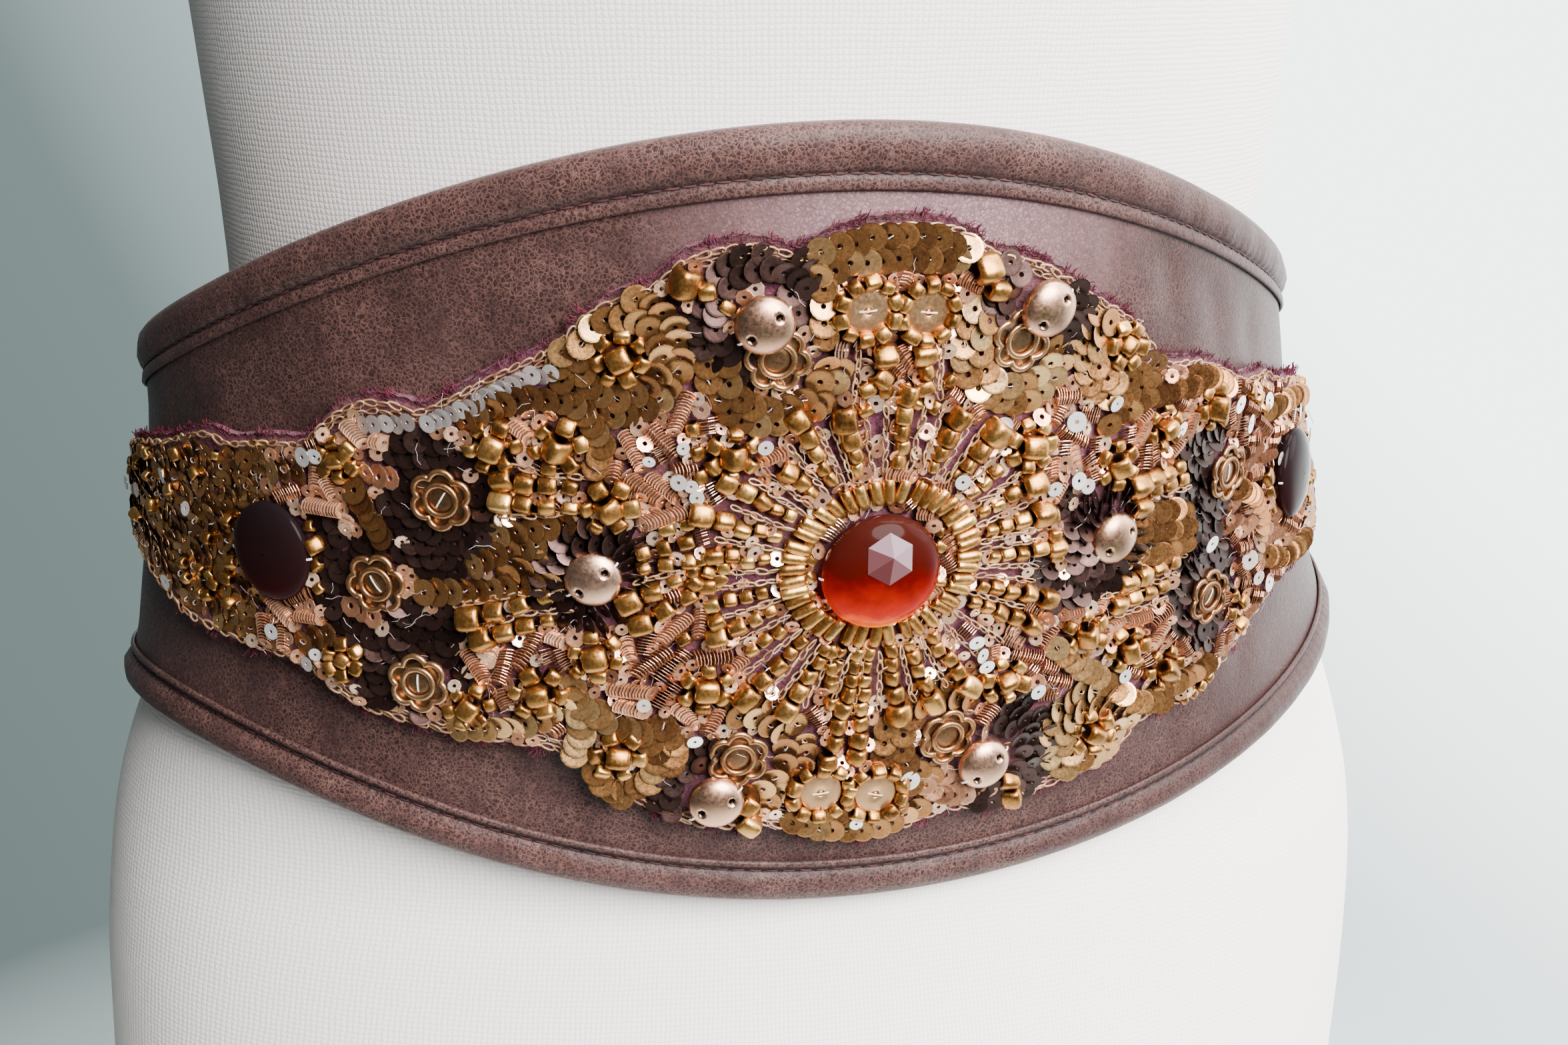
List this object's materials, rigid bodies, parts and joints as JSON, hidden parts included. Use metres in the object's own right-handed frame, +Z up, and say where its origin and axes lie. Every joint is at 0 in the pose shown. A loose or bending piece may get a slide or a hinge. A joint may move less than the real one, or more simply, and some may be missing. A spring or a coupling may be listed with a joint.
{
  "type": "sequinned leather cinch belt on a dress form",
  "caption": "Wide sculpted leather cinch belt with a beaded and sequinned sunburst applique, worn on a limbless dress form that stands on a flat base and displays it.",
  "frame": {"origin": "centre of the underside of the dress form's base, on the surface it stands on", "axes": "+Z up, the belt's front faces -Y, +X to the viewer's right"},
  "size_m": [0.3122, 0.2331, 0.6973],
  "materials": {
    "leather": "distressed brown-grey leather, fine tan cracks, dull sheen",
    "sequin_felt": "burgundy felt under gold, brown and copper sequins, beads and metallic chain stitch",
    "amber_stone": "faceted amber-red glass",
    "dark_stone": "faceted dark red glass",
    "bronze_domes": "brushed pinkish bronze",
    "copper_caps": "aged copper, satin",
    "pale_coins": "pale champagne metal, satin",
    "snap_brass": "antique brass",
    "linen": "off-white linen canvas",
    "stand_wood": "satin varnished wood"
  },
  "bodies": {
    "root": {"form_base": "stand_wood", "form_torso": "linen", "form_neck_cap": "stand_wood", "belt_panel": "leather", "top_binding": "leather", "bottom_binding": "leather", "applique_centre": "sequin_felt", "applique_left": "sequin_felt", "applique_right": "sequin_felt", "stone_centre": "amber_stone", "stone_left": "dark_stone", "stone_right": "dark_stone", "dome_upper_left": "bronze_domes", "dome_upper_right": "bronze_domes", "dome_middle_left": "bronze_domes", "dome_middle_right": "bronze_domes", "dome_lower_left": "bronze_domes", "dome_lower_right": "bronze_domes", "flower_cap_upper_left": "copper_caps", "flower_cap_upper_right": "copper_caps", "flower_cap_lower_left": "copper_caps", "flower_cap_lower_right": "copper_caps", "flower_cap_wing_left": "copper_caps", "flower_cap_wing_right": "copper_caps", "flower_cap_side_left": "copper_caps", "flower_cap_hem_left": "copper_caps", "flower_cap_hem_right": "copper_caps", "coin_upper_left": "pale_coins", "coin_upper_right": "pale_coins", "coin_lower_left": "pale_coins", "coin_lower_right": "pale_coins", "snap_cap_1": "snap_brass", "snap_stud_1": "snap_brass", "snap_cap_2": "snap_brass", "snap_stud_2": "snap_brass", "snap_cap_3": "snap_brass", "snap_stud_3": "snap_brass"}
  },
  "joints": []
}
